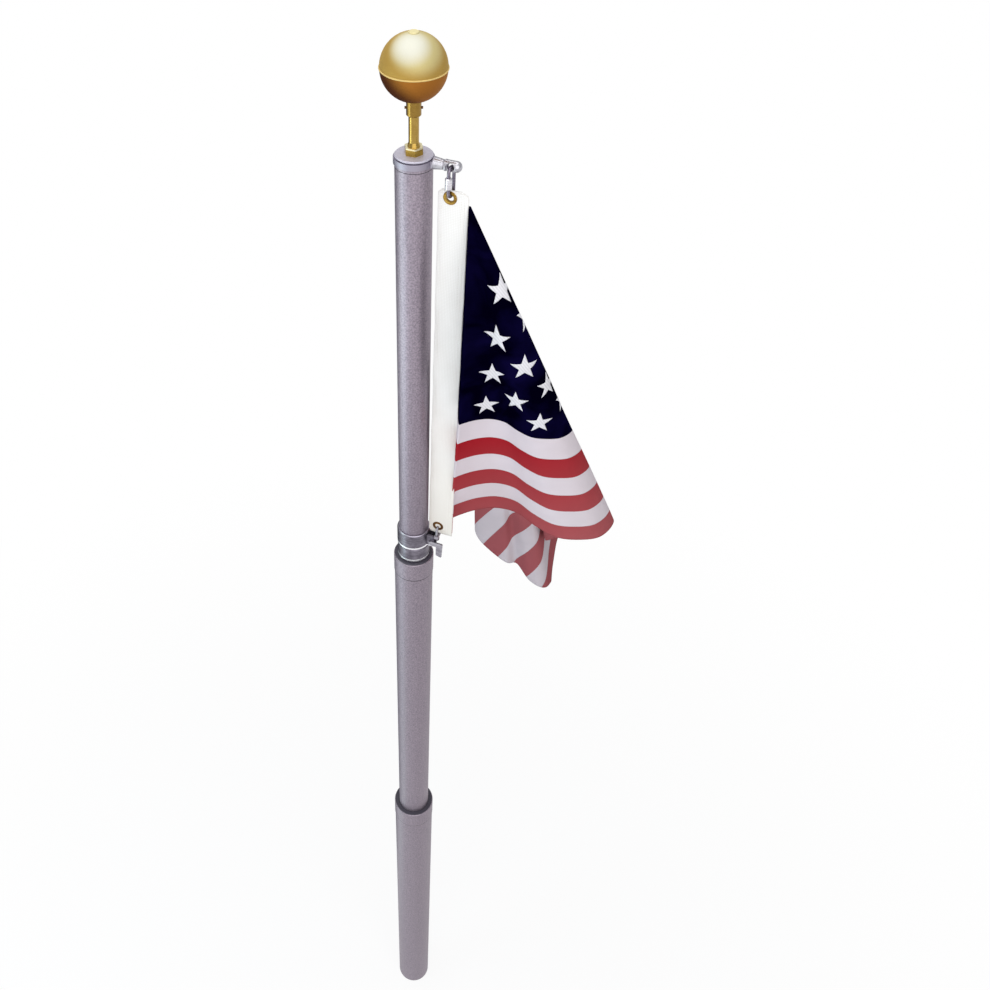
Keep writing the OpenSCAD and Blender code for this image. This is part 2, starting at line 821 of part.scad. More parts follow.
// Hook: one leg in the block, a bend through the grommet, and a nose that the gate meets
module snap_hook() {
    color("lightgray")
        translate([hook_x, 0, 0])
            rotate([0, 0, 90]) {
                translate([-hook_bend, 0, body_top - leg_in])
                    cylinder(h = leg_l, d = hook_d, $fn = 48);
                translate([0, 0, bend_z])
                    wire_bend(hook_bend, hook_d);
            }
}

// Gate: the straight leg on the far side, from the block to the hook's nose
module snap_gate() {
    color("lightgray")
        translate([hook_x, hook_bend, body_top - leg_in])
            cylinder(h = leg_l - seat, d = hook_d - 2 * snug, $fn = 48);
}

lower_tube();
lower_collar();
lower_bushing();
base_plug();
middle_tube();
middle_collar();
middle_bushing();
upper_tube();
stop_collar();
cap_plug();
cap_disc();
finial_nut();
finial_stem();
ball_neck();
neck_screws();
ball_lower_half();
ball_upper_half();
ball_seam_bead();
ball_top_button();
top_swivel_ring();
top_link();
top_link_sleeve();
flag_header();
upper_grommet();
lower_grommet();
flag_field();
lower_swivel_band();
thumb_screw();
snap_body();
snap_hook();
snap_gate();
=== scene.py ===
"""Looks of the telescoping flagpole: its finishes, the folded flag and the stitching."""
import math

import bmesh
import bpy
import numpy as np
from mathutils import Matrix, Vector


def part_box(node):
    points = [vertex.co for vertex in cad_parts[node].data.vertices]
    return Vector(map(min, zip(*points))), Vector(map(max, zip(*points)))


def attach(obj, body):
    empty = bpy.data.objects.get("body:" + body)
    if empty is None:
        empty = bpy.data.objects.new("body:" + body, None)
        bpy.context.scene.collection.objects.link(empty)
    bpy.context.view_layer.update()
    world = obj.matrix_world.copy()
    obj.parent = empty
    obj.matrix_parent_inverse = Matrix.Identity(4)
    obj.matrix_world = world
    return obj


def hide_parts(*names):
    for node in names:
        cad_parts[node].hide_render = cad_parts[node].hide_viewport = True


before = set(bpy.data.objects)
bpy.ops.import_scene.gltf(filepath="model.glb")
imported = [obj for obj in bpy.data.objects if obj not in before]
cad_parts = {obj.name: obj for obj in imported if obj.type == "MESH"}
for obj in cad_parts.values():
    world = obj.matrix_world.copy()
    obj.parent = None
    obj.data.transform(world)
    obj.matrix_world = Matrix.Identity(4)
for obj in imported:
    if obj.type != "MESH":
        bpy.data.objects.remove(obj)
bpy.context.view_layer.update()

MM = 0.001

# The photograph: 990 pixels square, with the pole's axis left of its middle
IMAGE_PX = 990
AXIS_PX = 413.8
FOCAL_PX = 1000
SENSOR_MM = 36.0
CAMERA_DISTANCE = 1.100
CAMERA_HEIGHT = 3.056
CAMERA_AZIMUTH = math.radians(22)
CAMERA_PITCH = math.radians(45)
CAMERA_RIGHT = Vector((math.cos(CAMERA_AZIMUTH), math.sin(CAMERA_AZIMUTH), 0))

# The header leans about the upper grommet, so its box is wider than it is
HEADER_LEAN = math.tan(math.radians(0.5))
HEADER_CLIP = 4.5 * MM
HEADER = [Vector(corner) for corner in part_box("flag_header")]
HEADER[0].x += HEADER_LEAN * (HEADER[1].z - HEADER[0].z)
PIVOT_Z = sum(corner.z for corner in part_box("upper_grommet")) / 2
HEADER_HOLE_R = 5.9 * MM
# The header's soft waves: a height, and how many radians they run down it and across it
HEADER_WAVES = [(0.9 * MM, 31, 3), (0.5 * MM, 67, -5)]

# Stitches on the header
STITCH_PITCH = 3.2 * MM
STITCH_LENGTH = 2.3 * MM
STITCH_INSET = 5 * MM
STITCH_ROW_GAP = 4 * MM
STITCH_END = 6 * MM
STITCH_PROUD = 0.1 * MM
THREAD_R = 0.22 * MM

# The finial ball
BALL_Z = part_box("ball_lower_half")[1].z
BALL_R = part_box("ball_upper_half")[1].z - BALL_Z
TO_CAMERA = Vector((math.sin(CAMERA_AZIMUTH), -math.cos(CAMERA_AZIMUTH), 0))
UP = Vector((0, 0, 1))
# Painted highlight and shade: a fixed way from its centre, and where that starts and ends, in radii
BALL_SOFT_HIGHLIGHT = ((0.51 * TO_CAMERA + 0.85 * UP + 0.1 * CAMERA_RIGHT).normalized(), 0.55, 0.88)
BALL_HIGHLIGHT = ((0.51 * TO_CAMERA + 0.85 * UP - 0.08 * CAMERA_RIGHT).normalized(), 0.76, 1.0)
BALL_SHADE = ((-0.75 * CAMERA_RIGHT - 0.66 * UP).normalized(), 0.15, 0.8)
BALL_FOOT = (UP, -1.0, 0.0)

# The flag's cut: its hoist is the header's length less what the header stands over at either end
CORNER_DROP = 11.8 * MM
FIELD_RISE = 6.9 * MM
HEADER_SEAT = 0.3 * MM
HOIST = HEADER[1].z - HEADER[0].z - CORNER_DROP - FIELD_RISE
FLY = 858 * MM

# How the flag's rays swing out and back from the top hoist corner, in degrees
FOLD_TURN = math.radians(22)
LEAN_RAMP = 2
FOLD = [(0, 0), (-0.3, 1.6), (1.9, 2.9), (5, 4), (8.5, 4.4), (11.9, 3.4), (14.8, 0.8), (18, -1.3),
        (21.5, -1.6), (24.5, -0.8), (26.5, 2), (26.4, 4.4), (21.7, 5.3), (17.5, 6.4), (15.6, 7.4),
        (16.2, 8.8), (18, 10.4), (18.4, 12), (17.2, 12.2), (15.8, 10.2), (14.4, 7.7), (12.4, 8.1),
        (10.8, 10), (9.4, 9.8), (7.2, 11), (5.5, 12.4), (5, 13.8), (6, 15), (9, 15.6), (13, 16),
        (15, 17), (14, 18.2), (10, 18.8), (6.5, 19.4), (5.5, 20.6), (8, 21.4), (12, 21.6), (15, 22.4)]
# The drop below the corner, and how far the cloth hangs back there, in percent of the hoist
LEAN = [(0, 0), (10.5, -3.5), (21, -7.8), (31.5, -10.6), (42, -10.5), (54.5, -9.1), (70, -5.8),
        (85.7, -1.8), (101.4, 2.8), (122.4, 10.8), (148.6, 14.7), (183.6, 16.1)]
# The drop in percent of the hoist, and how much wider the cloth spreads there, in percent
SPREAD = [(0, 0), (25, 3.2), (50, -4), (75, -8.4), (100, -11.6), (125, -14.6), (184, -16.6)]

STRIPES = 13
CANTON_STRIPES = 7
CANTON_WIDTH = 0.87 * HOIST
CANTON_HEIGHT = HOIST * CANTON_STRIPES / STRIPES
STAR_COLUMNS = 11
STAR_ROWS = 9
STAR_SIZE = 38 * MM
STAR_INSET = 8 * MM
STAR_TURN = math.radians(28)
# The inner corners of a regular five-point star, as a share of its radius
STAR_WAIST = 0.382
CLOTH_THICKNESS = 0.5 * MM
STAR_THICKNESS = 1.1 * MM

# The feed of a fine lathe cut, in mm
FINE_FEED = 0.3

# The strength of the white sky to matt surfaces, to reflections and to the camera
SKY_MATT = 0.42
SKY_MIRRORED = 0.6
SKY_SEEN = 1.0

# Upright cards for reflections: their ends, right of the pole and towards the camera, and their heights
DARK_CARD = [(-0.1, -0.45), (-0.45, -0.15)]
BRIGHT_CARD = [(-0.5, 0.07), (-0.46, 0.2)]
CARD_FOOT = 0.05
CARD_STEP = 1.7
CARD_HEAD = 2.48


# Nodes and colours

def linear(hex_colour):
    """An sRGB hex colour as linear RGBA."""
    channels = [int(hex_colour[i:i + 2], 16) / 255 for i in (1, 3, 5)]
    return [c / 12.92 if c <= 0.04045 else ((c + 0.055) / 1.055) ** 2.4 for c in channels] + [1.0]


def add(tree, kind, inputs=None, **settings):
    """Add a node, set its properties, and set or link its inputs."""
    node = tree.nodes.new(kind)
    for name, value in settings.items():
        setattr(node, name, value)
    for key, value in (inputs or {}).items():
        if isinstance(value, bpy.types.NodeSocket):
            tree.links.new(value, node.inputs[key])
        else:
            node.inputs[key].default_value = value
    return node


def blank(name):
    """A new material with an empty node tree."""
    material = bpy.data.materials.new(name)
    material.use_nodes = True
    material.node_tree.nodes.clear()
    return material, material.node_tree


def shade(tree, inputs):
    """A Principled surface on the material's output."""
    shader = add(tree, "ShaderNodeBsdfPrincipled", inputs)
    add(tree, "ShaderNodeOutputMaterial", {"Surface": shader.outputs[0]})


def strips(tree, place, spans):
    """A mask that is 1 between the given heights."""
    height = add(tree, "ShaderNodeSeparateXYZ", {0: place}).outputs[2]
    mask = 0.0
    for low, high in spans:
        near = add(tree, "ShaderNodeMath", {0: height, 1: (low + high) / 2, 2: (high - low) / 2},
                   operation="COMPARE").outputs[0]
        mask = add(tree, "ShaderNodeMath", {0: mask, 1: near}, operation="MAXIMUM").outputs[0]
    return mask


# Metal finishes

def anodised_aluminium(name, light, dark, metal, joints, shaded_span=(-1, 0)):
    """Drawn and anodised aluminium: soft grey with faint die lines, a fine grain and dark joint lines."""
    material, tree = blank(name)
    place = add(tree, "ShaderNodeTexCoord").outputs["Object"]
    drawn = add(tree, "ShaderNodeMapping", {"Vector": place, "Scale": (1, 1, 0.02)}).outputs[0]
    die_lines = add(tree, "ShaderNodeTexNoise",
                    {"Vector": drawn, "Scale": 1 / (0.8 * MM), "Detail": 2.0}).outputs[0]
    grain = add(tree, "ShaderNodeTexNoise",
                {"Vector": place, "Scale": 1 / (2.2 * MM), "Detail": 4.0}).outputs[0]
    mottle = add(tree, "ShaderNodeMath", {0: die_lines, 1: 0.25, 2: grain},
                 operation="MULTIPLY_ADD").outputs[0]
    spread = add(tree, "ShaderNodeMapRange",
                 {"Value": mottle, "From Min": 0.45, "From Max": 0.8}).outputs[0]
    colour = add(tree, "ShaderNodeMix", {0: spread, 6: linear(dark), 7: linear(light)},
                 data_type="RGBA").outputs[2]
    # Painted shade: darker towards the lower end of the given span of heights
    height = add(tree, "ShaderNodeSeparateXYZ", {0: place}).outputs[2]
    dull = add(tree, "ShaderNodeMapRange", {"Value": height, "From Min": shaded_span[0], "From Max": shaded_span[1],
                                            "To Min": 0.75, "To Max": 0.0}).outputs[0]
    colour = add(tree, "ShaderNodeMix", {0: dull, 6: colour, 7: linear("#655b68")},
                 data_type="RGBA").outputs[2]
    joint = strips(tree, place, joints)
    colour = add(tree, "ShaderNodeMix", {0: joint, 6: colour, 7: linear("#2e2a33")},
                 data_type="RGBA").outputs[2]
    rough = add(tree, "ShaderNodeMapRange", {"Value": grain, "To Min": 0.42, "To Max": 0.58}).outputs[0]
    bump = add(tree, "ShaderNodeBump",
               {"Height": mottle, "Strength": 0.25, "Distance": 0.1 * MM}).outputs[0]
    shade(tree, {"Base Color": colour, "Metallic": metal, "Roughness": rough, "Normal": bump})
    return material


def turned_metal(name, light, dark, roughness, highlight_strips=(), feed=1.5):
    """Metal turned on a lathe: tool marks at a feed in mm, and painted highlights on given strips."""
    material, tree = blank(name)
    place = add(tree, "ShaderNodeTexCoord").outputs["Object"]
    rings = add(tree, "ShaderNodeMapping", {"Vector": place, "Scale": (0.02, 0.02, 1)}).outputs[0]
    marks = add(tree, "ShaderNodeTexNoise",
                {"Vector": rings, "Scale": 1 / (feed * MM), "Detail": 5.0}).outputs[0]
    wear = add(tree, "ShaderNodeTexNoise",
               {"Vector": place, "Scale": 1 / (9 * MM), "Detail": 3.0}).outputs[0]
    tone = add(tree, "ShaderNodeMath", {0: marks, 1: wear}, operation="MULTIPLY").outputs[0]
    spread = add(tree, "ShaderNodeMapRange", {"Value": tone, "From Min": 0.12, "From Max": 0.4}).outputs[0]
    colour = add(tree, "ShaderNodeMix", {0: spread, 6: linear(dark), 7: linear(light)},
                 data_type="RGBA").outputs[2]
    for low, high, bright in highlight_strips:
        edge = strips(tree, place, [(low, high)])
        colour = add(tree, "ShaderNodeMix", {0: edge, 6: colour, 7: linear(bright)},
                     data_type="RGBA").outputs[2]
    rough = add(tree, "ShaderNodeMapRange", {"Value": wear, "To Min": roughness - 0.06,
                                             "To Max": roughness + 0.1}).outputs[0]
    bump = add(tree, "ShaderNodeBump",
               {"Height": marks, "Strength": 0.35, "Distance": 0.1 * feed * MM}).outputs[0]
    shade(tree, {"Base Color": colour, "Metallic": 0.9, "Roughness": rough, "Normal": bump})
    return material


def gold_ball_finish(name, gold, metal, sides=()):
    """Satin gold anodised spun aluminium: painted highlight on its crown, painted shade at its foot and
    one side.
    """
    material, tree = blank(name)
    place = add(tree, "ShaderNodeTexCoord").outputs["Object"]
    colour = linear(gold)
    for (way, start, end), aged in sides:
        along = add(tree, "ShaderNodeVectorMath", {0: place, 1: way},
                    operation="DOT_PRODUCT").outputs["Value"]
        centre = way.z * BALL_Z
        share = add(tree, "ShaderNodeMapRange", {"Value": along, "From Min": centre + start * BALL_R,
                                                 "From Max": centre + end * BALL_R},
                    interpolation_type="SMOOTHSTEP").outputs[0]
        colour = add(tree, "ShaderNodeMix", {0: share, 6: colour, 7: linear(aged)},
                     data_type="RGBA").outputs[2]
    satin = add(tree, "ShaderNodeTexNoise",
                {"Vector": place, "Scale": 1 / (1.4 * MM), "Detail": 5.0}).outputs[0]
    rough = add(tree, "ShaderNodeMapRange", {"Value": satin, "To Min": 0.66, "To Max": 0.78}).outputs[0]
    bump = add(tree, "ShaderNodeBump",
               {"Height": satin, "Strength": 0.12, "Distance": 0.1 * MM}).outputs[0]
    shade(tree, {"Base Color": colour, "Metallic": metal, "Roughness": rough, "Normal": bump})
    return material


def polished_casting(ring_r, arm_r, foot):
    """Sand-cast aluminium: the arm polished to soft low waves, the ring round the pole left dull."""
    material, tree = blank("polished_casting")
    place = add(tree, "ShaderNodeTexCoord").outputs["Object"]
    waves = add(tree, "ShaderNodeTexNoise",
                {"Vector": place, "Scale": 1 / (7 * MM), "Detail": 2.0}).outputs[0]
    scratch = add(tree, "ShaderNodeTexNoise",
                  {"Vector": place, "Scale": 1 / (0.6 * MM), "Detail": 5.0}).outputs[0]
    colour = add(tree, "ShaderNodeMix", {0: waves, 6: linear("#9c9aa2"), 7: linear("#d2d1d7")},
                 data_type="RGBA").outputs[2]
    level = add(tree, "ShaderNodeVectorMath", {0: place, 1: (1, 1, 0)}, operation="MULTIPLY").outputs[0]
    away = add(tree, "ShaderNodeVectorMath", {0: level}, operation="LENGTH").outputs["Value"]
    dull = add(tree, "ShaderNodeMapRange",
               {"Value": away, "From Min": arm_r, "From Max": ring_r}).outputs[0]
    colour = add(tree, "ShaderNodeMix", {0: dull, 6: colour, 7: linear("#a09aa8")},
                 data_type="RGBA").outputs[2]
    # Painted highlight: a pale strip along the ring's lower edge
    edge = strips(tree, place, [(foot, foot + 1.6 * MM)])
    colour = add(tree, "ShaderNodeMix", {0: edge, 6: colour, 7: linear("#dcd8e2")},
                 data_type="RGBA").outputs[2]
    rough = add(tree, "ShaderNodeMapRange", {"Value": scratch, "To Min": 0.24, "To Max": 0.4}).outputs[0]
    rough = add(tree, "ShaderNodeMath", {0: dull, 1: 0.2, 2: rough}, operation="MULTIPLY_ADD").outputs[0]
    bump = add(tree, "ShaderNodeBump", {"Height": waves, "Strength": 0.2, "Distance": 0.5 * MM}).outputs[0]
    shade(tree, {"Base Color": colour, "Metallic": 1.0, "Roughness": rough, "Normal": bump})
    return material


def moulded_acetal():
    """Black acetal: moulded, close to black with a faint sheen and a fine moulded grain."""
    material, tree = blank("moulded_acetal")
    place = add(tree, "ShaderNodeTexCoord").outputs["Object"]
    grain = add(tree, "ShaderNodeTexNoise",
                {"Vector": place, "Scale": 1 / (0.8 * MM), "Detail": 3.0}).outputs[0]
    colour = add(tree, "ShaderNodeMix", {0: grain, 6: linear("#35323d"), 7: linear("#47434f")},
                 data_type="RGBA").outputs[2]
    rough = add(tree, "ShaderNodeMapRange", {"Value": grain, "To Min": 0.45, "To Max": 0.62}).outputs[0]
    bump = add(tree, "ShaderNodeBump",
               {"Height": grain, "Strength": 0.15, "Distance": 0.1 * MM}).outputs[0]
    shade(tree, {"Base Color": colour, "Roughness": rough, "Normal": bump, "IOR": 1.48})
    return material


# Cloth finishes

def flag_nylon():
    """Woven nylon taffeta: sewn stripes and a navy canton, with a ribbed weave and a matt surface."""
    material, tree = blank("flag_nylon")
    flat = add(tree, "ShaderNodeUVMap", uv_map="cut").outputs[0]
    along = add(tree, "ShaderNodeSeparateXYZ", {0: flat})
    out, drop = along.outputs[0], along.outputs[1]
    # Stripes are counted down from the top edge
    count = add(tree, "ShaderNodeMath", {0: drop, 1: STRIPES / HOIST}, operation="MULTIPLY").outputs[0]
    pair = add(tree, "ShaderNodeMath", {0: count, 1: 2.0}, operation="FLOORED_MODULO").outputs[0]
    white = add(tree, "ShaderNodeMath", {0: pair, 1: 1.0}, operation="GREATER_THAN").outputs[0]
    near = add(tree, "ShaderNodeMath", {0: out, 1: CANTON_WIDTH}, operation="LESS_THAN").outputs[0]
    high = add(tree, "ShaderNodeMath", {0: drop, 1: CANTON_HEIGHT}, operation="LESS_THAN").outputs[0]
    canton = add(tree, "ShaderNodeMath", {0: near, 1: high}, operation="MULTIPLY").outputs[0]
    stripe = add(tree, "ShaderNodeMix", {0: white, 6: linear("#a2202a"), 7: linear("#dcd3da")},
                 data_type="RGBA").outputs[2]
    # The hem and the fly corner are drawn a little paler
    reach = add(tree, "ShaderNodeVectorMath", {0: flat}, operation="LENGTH").outputs["Value"]
    edge_paling = add(tree, "ShaderNodeMapRange", {"Value": reach, "To Max": 0.15, "From Min": 0.62 * HOIST,
                                             "From Max": 1.12 * HOIST}).outputs[0]
    stripe = add(tree, "ShaderNodeMix", {0: edge_paling, 6: stripe, 7: linear("#d2cbcd")},
                 data_type="RGBA").outputs[2]
    # Painted shade: the fly end is drawn a little darker
    fly_end_shade = add(tree, "ShaderNodeMapRange", {"Value": reach, "To Max": 0.22, "From Min": 1.15 * HOIST,
                                              "From Max": 1.35 * HOIST}).outputs[0]
    stripe = add(tree, "ShaderNodeMix", {0: fly_end_shade, 6: stripe, 7: linear("#54434a")},
                 data_type="RGBA").outputs[2]
    crease = add(tree, "ShaderNodeTexNoise", {"Vector": flat, "Scale": 1 / (60 * MM), "Detail": 4.0,
                                              "Distortion": 0.6}).outputs[0]
    bloom = add(tree, "ShaderNodeMapRange",
                {"Value": crease, "From Min": 0.42, "From Max": 0.68}).outputs[0]
    navy = add(tree, "ShaderNodeMix", {0: bloom, 6: linear("#01000f"), 7: linear("#0b072e")},
               data_type="RGBA").outputs[2]
    dyed = add(tree, "ShaderNodeMix", {0: canton, 6: stripe, 7: navy}, data_type="RGBA").outputs[2]
    # Felled seams between the stripes show as a fine darker line
    seam_at = add(tree, "ShaderNodeMath", {0: count, 1: 1.0}, operation="PINGPONG").outputs[0]
    seam = add(tree, "ShaderNodeMath", {0: seam_at, 1: 0.025}, operation="LESS_THAN").outputs[0]
    seam_tone = add(tree, "ShaderNodeMath", {0: seam, 1: 0.09}, operation="MULTIPLY").outputs[0]
    shadow = add(tree, "ShaderNodeMapRange", {"Value": crease, "To Min": 0.14, "To Max": 0.0}).outputs[0]
    darker = add(tree, "ShaderNodeMath", {0: seam_tone, 1: shadow}, operation="ADD").outputs[0]
    colour = add(tree, "ShaderNodeMix", {0: darker, 6: dyed, 7: linear("#08040a")},
                 data_type="RGBA").outputs[2]
    # The real weave is 0.2 mm; it is drawn at 1.2 mm so that it shows
    ribs = add(tree, "ShaderNodeTexWave", {"Vector": flat, "Scale": 1 / (1.2 * MM) / (2 * math.pi),
                                           "Distortion": 0.6}, bands_direction="Y").outputs[1]
    relief = add(tree, "ShaderNodeMath", {0: crease, 1: ribs, 2: 0.15},
                 operation="MULTIPLY_ADD").outputs[0]
    bump = add(tree, "ShaderNodeBump",
               {"Height": relief, "Strength": 0.35, "Distance": 1.2 * MM}).outputs[0]
    shade(tree, {"Base Color": colour, "Roughness": 0.7, "Normal": bump, "Specular IOR Level": 0.0})
    return material


def star_thread():
    """Rayon embroidery: dense white satin stitch with a slight gloss along its threads."""
    material, tree = blank("star_thread")
    place = add(tree, "ShaderNodeTexCoord").outputs["Object"]
    threads = add(tree, "ShaderNodeTexWave", {"Vector": place, "Scale": 1 / (1.4 * MM) / (2 * math.pi),
                                              "Distortion": 1.5}, bands_direction="DIAGONAL").outputs[1]
    colour = add(tree, "ShaderNodeMix", {0: threads, 6: linear("#cfced4"), 7: linear("#e1e0e5")},
                 data_type="RGBA").outputs[2]
    bump = add(tree, "ShaderNodeBump",
               {"Height": threads, "Strength": 0.3, "Distance": 0.3 * MM}).outputs[0]
    shade(tree, {"Base Color": colour, "Roughness": 0.55, "Normal": bump})
    return material


def header_canvas():
    """Cotton duck: heavy plain weave, off-white, with slubs and a matt surface."""
    material, tree = blank("header_canvas")
    place = add(tree, "ShaderNodeTexCoord").outputs["Object"]
    # The real threads are 0.5 mm; they are drawn at 1.1 mm so that they show
    spacing = 1 / (1.1 * MM) / (2 * math.pi)
    warp = add(tree, "ShaderNodeTexWave", {"Vector": place, "Scale": spacing, "Distortion": 0.8},
               bands_direction="X").outputs[1]
    weft = add(tree, "ShaderNodeTexWave", {"Vector": place, "Scale": spacing, "Distortion": 0.8},
               bands_direction="Z").outputs[1]
    weave = add(tree, "ShaderNodeMath", {0: warp, 1: weft}, operation="MULTIPLY").outputs[0]
    slubs = add(tree, "ShaderNodeTexNoise",
                {"Vector": place, "Scale": 1 / (14 * MM), "Detail": 5.0}).outputs[0]
    tone = add(tree, "ShaderNodeMath", {0: weave, 1: slubs}, operation="MULTIPLY").outputs[0]
    spread = add(tree, "ShaderNodeMapRange", {"Value": tone, "From Min": 0.0, "From Max": 0.5}).outputs[0]
    colour = add(tree, "ShaderNodeMix", {0: spread, 6: linear("#efedea"), 7: linear("#fcfbfa")},
                 data_type="RGBA").outputs[2]
    # The foot by the lower grommet is drawn a little darker
    height = add(tree, "ShaderNodeSeparateXYZ", {0: place}).outputs[2]
    foot = HEADER[0].z
    foot_darkening = add(tree, "ShaderNodeMapRange", {"Value": height, "From Min": foot, "From Max": foot + 0.3,
                                            "To Min": 0.8, "To Max": 0.0}).outputs[0]
    colour = add(tree, "ShaderNodeMix", {0: foot_darkening, 6: colour, 7: linear("#d8d2c9")},
                 data_type="RGBA").outputs[2]
    bump = add(tree, "ShaderNodeBump", {"Height": tone, "Strength": 0.4, "Distance": 0.4 * MM}).outputs[0]
    shade(tree, {"Base Color": colour, "Roughness": 0.9, "Normal": bump, "Sheen Weight": 0.1})
    return material


def sewing_thread():
    """Bonded polyester thread, twisted, off-white."""
    material, tree = blank("sewing_thread")
    place = add(tree, "ShaderNodeTexCoord").outputs["Object"]
    twist = add(tree, "ShaderNodeTexWave", {"Vector": place, "Scale": 1 / (0.8 * MM) / (2 * math.pi)},
                bands_direction="DIAGONAL").outputs[1]
    colour = add(tree, "ShaderNodeMix", {0: twist, 6: linear("#e2dfd8"), 7: linear("#f6f4f0")},
                 data_type="RGBA").outputs[2]
    shade(tree, {"Base Color": colour, "Roughness": 0.6})
    return material


# The folded cloth

def spline(rows, steps=24):
    """A smooth path through given points."""
    points = np.array(rows, float)
    points = np.vstack([points[:1], points, points[-1:]])
    t = (np.arange(steps) / steps)[:, None]
    spans = []
    for a, b, c, d in zip(points, points[1:], points[2:], points[3:]):
        spans.append(0.5 * (2 * b + (c - a) * t + (2 * a - 5 * b + 4 * c - d) * t ** 2
                            + (3 * b - a - 3 * c + d) * t ** 3))
    return np.vstack(spans + [points[-1:]])


def unit(vectors):
    """Vectors of the same ways, one long."""
    return vectors / np.linalg.norm(vectors, axis=-1, keepdims=True)


class Cloth:
    """Places points of the flat flag on its folds: rays fan out from the top hoist corner."""

    def __init__(self, corner):
        swing = np.radians(spline(FOLD))
        self.rays = unit(np.stack([np.tan(swing[:, 0]), np.tan(swing[:, 1]), -np.ones(len(swing))],
                                  axis=1))
        steps = np.linalg.norm(np.diff(self.rays, axis=0), axis=1)
        self.turned = np.concatenate([[0.0], np.cumsum(steps)])
        self.lean = spline(LEAN) * HOIST / 100
        self.spread = spline(SPREAD) / 100
        self.corner = np.array(corner)

    def at(self, out, drop):
        """Points at a distance out from the hoist and a drop below the top edge."""
        far = np.hypot(out, drop)
        turn = np.arctan2(out, drop)
        ray = unit(np.stack([np.interp(turn, self.turned, self.rays[:, i]) for i in range(3)], axis=-1))
        point = ray * far[..., None]
        ramp = np.clip(np.degrees(turn) / LEAN_RAMP, 0, 1)
        ramp = ramp * ramp * (3 - 2 * ramp)
        back = point[..., 1] + ramp * np.interp(-point[..., 2], self.lean[:, 0], self.lean[:, 1])
        out = point[..., 0] * (1 + np.interp(-point[..., 2] / HOIST, self.spread[:, 0], self.spread[:, 1]))
        cos, sin = math.cos(FOLD_TURN), math.sin(FOLD_TURN)
        place = self.corner + np.stack([out * cos - back * sin, out * sin + back * cos, point[..., 2]],
                                       axis=-1)
        place[..., 0] += HEADER_LEAN * (place[..., 2] - PIVOT_Z)
        return place


def new_object(name, data):
    """A new object at the origin, in the scene."""
    thing = bpy.data.objects.new(name, data)
    bpy.context.scene.collection.objects.link(thing)
    return thing


def mesh_object(name, points, faces, material):
    """A new object at the origin from points and faces."""
    mesh = bpy.data.meshes.new(name)
    mesh.from_pydata([tuple(p) for p in points], [], faces)
    mesh.materials.append(material)
    return new_object(name, mesh)


def baked(piece):
    """Turn the evaluated piece into a plain mesh and drop its modifiers."""
    depsgraph = bpy.context.evaluated_depsgraph_get()
    mesh = bpy.data.meshes.new_from_object(piece.evaluated_get(depsgraph), depsgraph=depsgraph)
    piece.modifiers.clear()
    piece.data = mesh
    return piece


def smooth(piece):
    """The piece, shaded smooth."""
    piece.data.polygons.foreach_set("use_smooth", [True] * len(piece.data.polygons))
    return piece


def thickened(piece, thickness):
    """The piece as a plain smooth mesh, thickened evenly to both sides."""
    wall = piece.modifiers.new("thickness", "SOLIDIFY")
    wall.thickness = thickness
    wall.offset = 0
    return smooth(baked(piece))


def flag_sheet(cloth, material, columns=300, rows=104, first=4 * MM, least=1e-6):
    """The flag's field as one sheet, with its flat cut kept as a UV map in metres."""
    corner_turn = math.atan2(FLY, HOIST)
    turns = np.unique(np.append(np.linspace(0, math.pi / 2, columns), corner_turn))
    to_hem = HOIST / np.maximum(np.cos(turns), least)
    to_fly_end = FLY / np.maximum(np.sin(turns), least)
    reach = np.where(turns <= corner_turn, to_hem, to_fly_end)
    share = np.linspace(0, 1, rows)[None, :]
    far = first + (reach[:, None] - first) * share
    out = far * np.sin(turns)[:, None]
    drop = far * np.cos(turns)[:, None]
    points = cloth.at(out, drop).reshape(-1, 3)
    index = np.arange(len(turns) * rows).reshape(len(turns), rows)
    quads = [index[:-1, :-1], index[:-1, 1:], index[1:, 1:], index[1:, :-1]]
    faces = np.stack(quads, axis=-1).reshape(-1, 4)
    piece = mesh_object("flag", points, faces.tolist(), material)
    flat = np.stack([out.ravel(), drop.ravel()], axis=1)
    layer = piece.data.uv_layers.new(name="cut")
    corners = np.empty(len(piece.data.loops), int)
    piece.data.loops.foreach_get("vertex_index", corners)
    layer.data.foreach_set("uv", flat[corners].ravel())
    return thickened(piece, CLOTH_THICKNESS)


def node_group(name, sockets):
    """A geometry node tree with named inputs, and the sockets that give them inside it."""
    tree = bpy.data.node_groups.new(name, "GeometryNodeTree")
    for title, kind, value in sockets:
        socket = tree.interface.new_socket(title, in_out="INPUT", socket_type=kind)
        if value is not None:
            socket.default_value = value
    tree.interface.new_socket("Geometry", in_out="OUTPUT", socket_type="NodeSocketGeometry")
    return tree, add(tree, "NodeGroupInput").outputs


def end_group(tree, placed, material):
    """The tree, ended: what was placed becomes real geometry in its material."""
    real = add(tree, "GeometryNodeRealizeInstances", {0: placed.outputs[0]})
    finish = add(tree, "GeometryNodeSetMaterial", {"Geometry": real.outputs[0], "Material": material})
    add(tree, "NodeGroupOutput", {"Geometry": finish.outputs[0]})
    return tree


